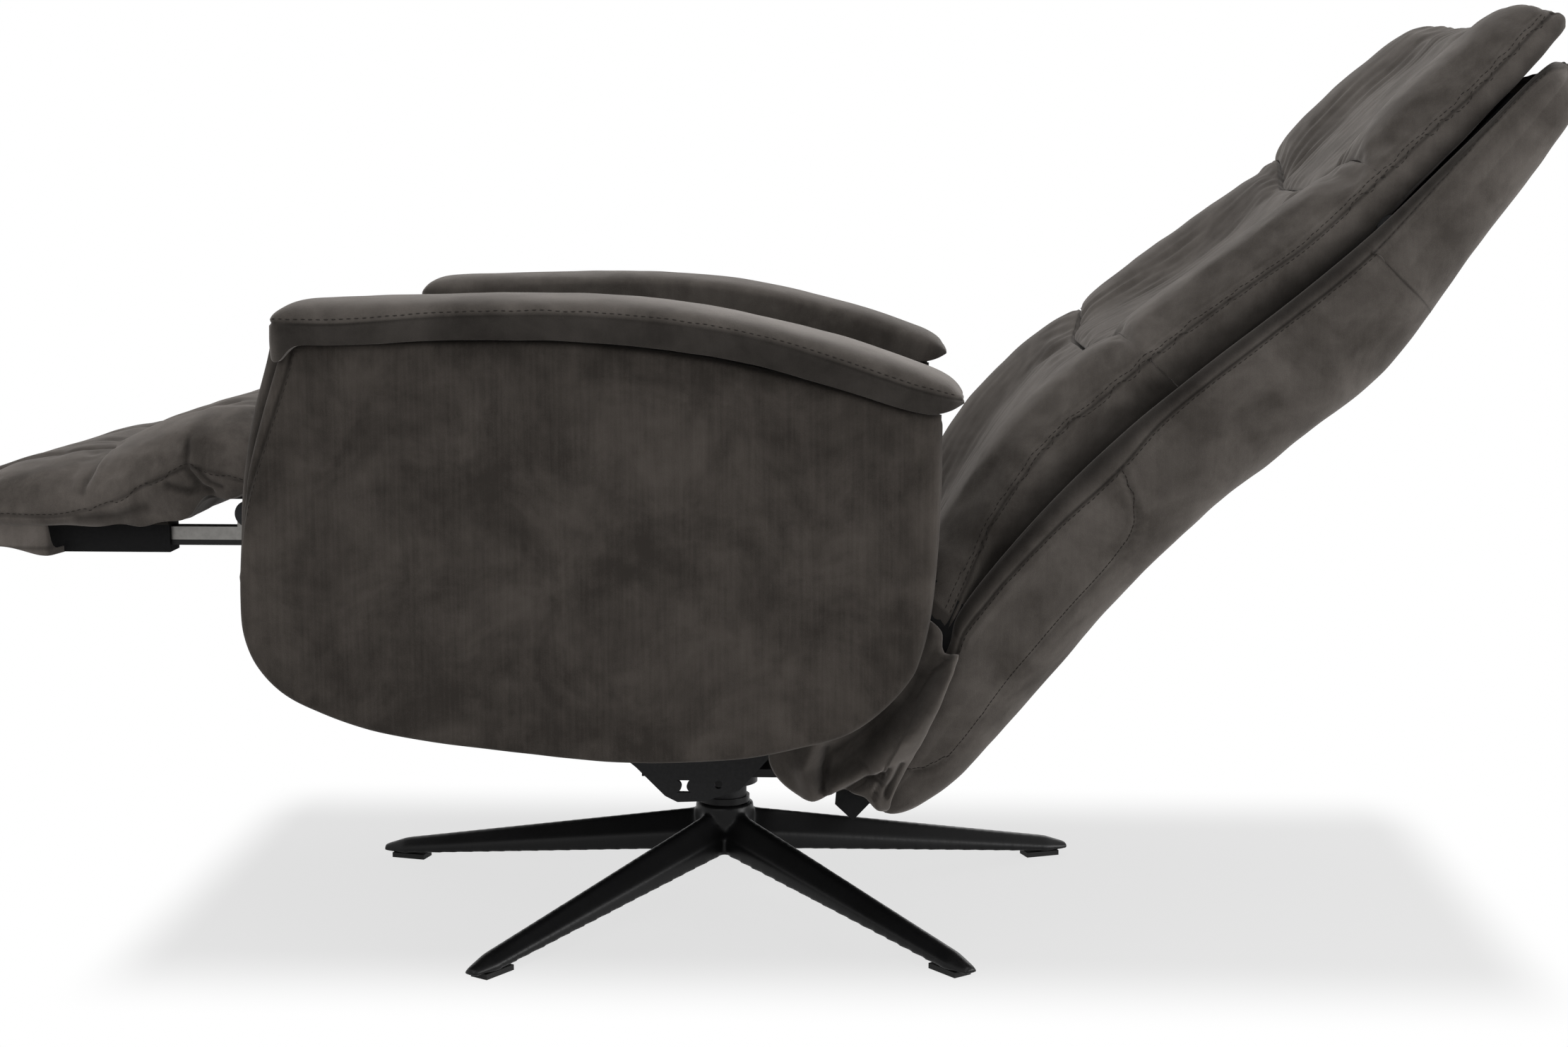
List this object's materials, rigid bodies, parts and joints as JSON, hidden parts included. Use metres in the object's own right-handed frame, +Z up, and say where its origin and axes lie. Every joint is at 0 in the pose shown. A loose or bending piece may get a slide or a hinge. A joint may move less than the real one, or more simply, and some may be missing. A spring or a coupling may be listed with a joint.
{
  "type": "swivel recliner",
  "caption": "Upholstered power recliner with padded arms, bolstered back, adjustable headrest and sliding leg rest on a swivelling star base, shown fully reclined.",
  "frame": {"origin": "on the floor, under the middle of the reclined chair's bounding box", "axes": "+X to the sitter's left, +Y from the leg rest towards the back, +Z up"},
  "size_m": [0.7914, 1.4613, 0.8581],
  "materials": {
    "upholstery": "matte napped velvet",
    "base_paint": "satin black",
    "frame_paint": "satin black",
    "bright_steel": "satin zinc",
    "timber": "raw plywood",
    "black_nylon": "matte",
    "dark_plastic": "fine textured",
    "button_plastic": "satin",
    "webbing": "woven"
  },
  "bodies": {
    "base": {"star_base": "base_paint", "base_glides": "black_nylon", "column_tube": "bright_steel", "column_collar": "base_paint", "thrust_washer": "black_nylon"},
    "chassis": {"swivel_socket": "base_paint", "swivel_plate": "base_paint", "mechanism_plate_left": "frame_paint", "mechanism_plate_right": "frame_paint", "cross_tube_front": "frame_paint", "cross_tube_rear": "frame_paint", "seat_track_left": "frame_paint", "seat_track_right": "frame_paint", "arm_brackets": "frame_paint", "chassis_bolts": "bright_steel", "arm_frame_left": "timber", "arm_border_left": "upholstery", "arm_outer_panel_left": "upholstery", "arm_inner_panel_left": "upholstery", "arm_pad_left": "upholstery", "arm_frame_right": "timber", "arm_border_right": "upholstery", "arm_outer_panel_right": "upholstery", "arm_inner_panel_right": "upholstery", "arm_pad_right": "upholstery", "control_panel": "dark_plastic", "control_box": "dark_plastic"},
    "seat": {"seat_frame": "frame_paint", "hinge_pins": "bright_steel", "seat_runners": "black_nylon", "seat_webbing": "webbing", "seat_cushion": "upholstery"},
    "back": {"back_frame": "frame_paint", "back_foot_tube": "frame_paint", "back_board": "timber", "back_shell": "upholstery", "lumbar_cushion": "upholstery", "middle_cushion": "upholstery", "side_flap_left": "upholstery", "side_flap_right": "upholstery", "head_pins": "bright_steel"},
    "headrest": {"head_frame": "frame_paint", "head_board": "timber", "head_shell": "upholstery", "head_cushion": "upholstery"},
    "legrest_link": {"leg_slides": "bright_steel", "slide_strips": "black_nylon", "leg_link_tube": "frame_paint"},
    "legrest_carriage": {"leg_channels": "frame_paint", "leg_board": "timber", "leg_pad": "upholstery", "leg_valance": "upholstery"},
    "back_drive": {"back_motor": "dark_plastic"},
    "back_drive_rod": {"back_motor_rod": "bright_steel"},
    "leg_drive": {"leg_motor": "dark_plastic"},
    "leg_drive_rod": {"leg_motor_rod": "bright_steel"},
    "button_1": {"back_up_button": "button_plastic"},
    "button_2": {"back_down_button": "button_plastic"},
    "button_3": {"legs_up_button": "button_plastic"},
    "button_4": {"legs_down_button": "button_plastic"}
  },
  "joints": [
    {"name": "swivel", "type": "hinge", "parent": "base", "child": "chassis", "pos_m": [0, -0.034, 0.118], "axis": [0, 0, 1], "continuous": true},
    {"name": "seat_travel", "type": "slide", "parent": "chassis", "child": "seat", "axis": [0, 0.9903, -0.1392], "range_m": [0, 0.042]},
    {"name": "back_recline", "type": "hinge", "parent": "seat", "child": "back", "pos_m": [0, 0.116, 0.37], "axis": [1, 0, 0], "range_deg": [0, 48]},
    {"name": "headrest_tilt", "type": "hinge", "parent": "back", "child": "headrest", "pos_m": [0, 0.56084, 0.65935], "axis": [1, 0, 0], "range_deg": [0, 18]},
    {"name": "legrest_fold", "type": "hinge", "parent": "seat", "child": "legrest_link", "pos_m": [0, -0.452, 0.402], "axis": [1, 0, 0], "range_deg": [0, 80]},
    {"name": "legrest_extend", "type": "slide", "parent": "legrest_link", "child": "legrest_carriage", "axis": [0, 1, 0], "range_m": [0, 0.025]},
    {"name": "back_motor_swing", "type": "hinge", "parent": "seat", "child": "back_drive", "pos_m": [0, -0.204, 0.305], "axis": [1, 0, 0], "range_deg": [0, 13.69]},
    {"name": "back_motor_stroke", "type": "slide", "parent": "back_drive", "child": "back_drive_rod", "axis": [0, 0.8968, -0.4424], "range_m": [0, 0.14272]},
    {"name": "leg_motor_swing", "type": "hinge", "parent": "seat", "child": "leg_drive", "pos_m": [0, -0.029, 0.29], "axis": [1, 0, 0], "range_deg": [-8.18, 0]},
    {"name": "leg_motor_stroke", "type": "slide", "parent": "leg_drive", "child": "leg_drive_rod", "axis": [0, -0.9992, 0.0394], "range_m": [-0.11549, 0]},
    {"name": "back_up_press", "type": "slide", "parent": "chassis", "child": "button_1", "axis": [-1, 0, 0], "range_m": [0, 0.001], "stiffness_N_per_m": 900},
    {"name": "back_down_press", "type": "slide", "parent": "chassis", "child": "button_2", "axis": [-1, 0, 0], "range_m": [0, 0.001], "stiffness_N_per_m": 900},
    {"name": "legs_up_press", "type": "slide", "parent": "chassis", "child": "button_3", "axis": [-1, 0, 0], "range_m": [0, 0.001], "stiffness_N_per_m": 900},
    {"name": "legs_down_press", "type": "slide", "parent": "chassis", "child": "button_4", "axis": [-1, 0, 0], "range_m": [0, 0.001], "stiffness_N_per_m": 900}
  ],
  "couplings": [
    {"joint": "seat_travel", "follows": "back_recline", "m_per_rad": 0.050133},
    {"joint": "back_motor_swing", "follows": "back_recline", "ratio": 0.28524},
    {"joint": "back_motor_stroke", "follows": "back_recline", "m_per_rad": 0.17036},
    {"joint": "legrest_extend", "follows": "legrest_fold", "m_per_rad": 0.017905},
    {"joint": "leg_motor_swing", "follows": "legrest_fold", "ratio": -0.1023},
    {"joint": "leg_motor_stroke", "follows": "legrest_fold", "m_per_rad": -0.082716}
  ]
}
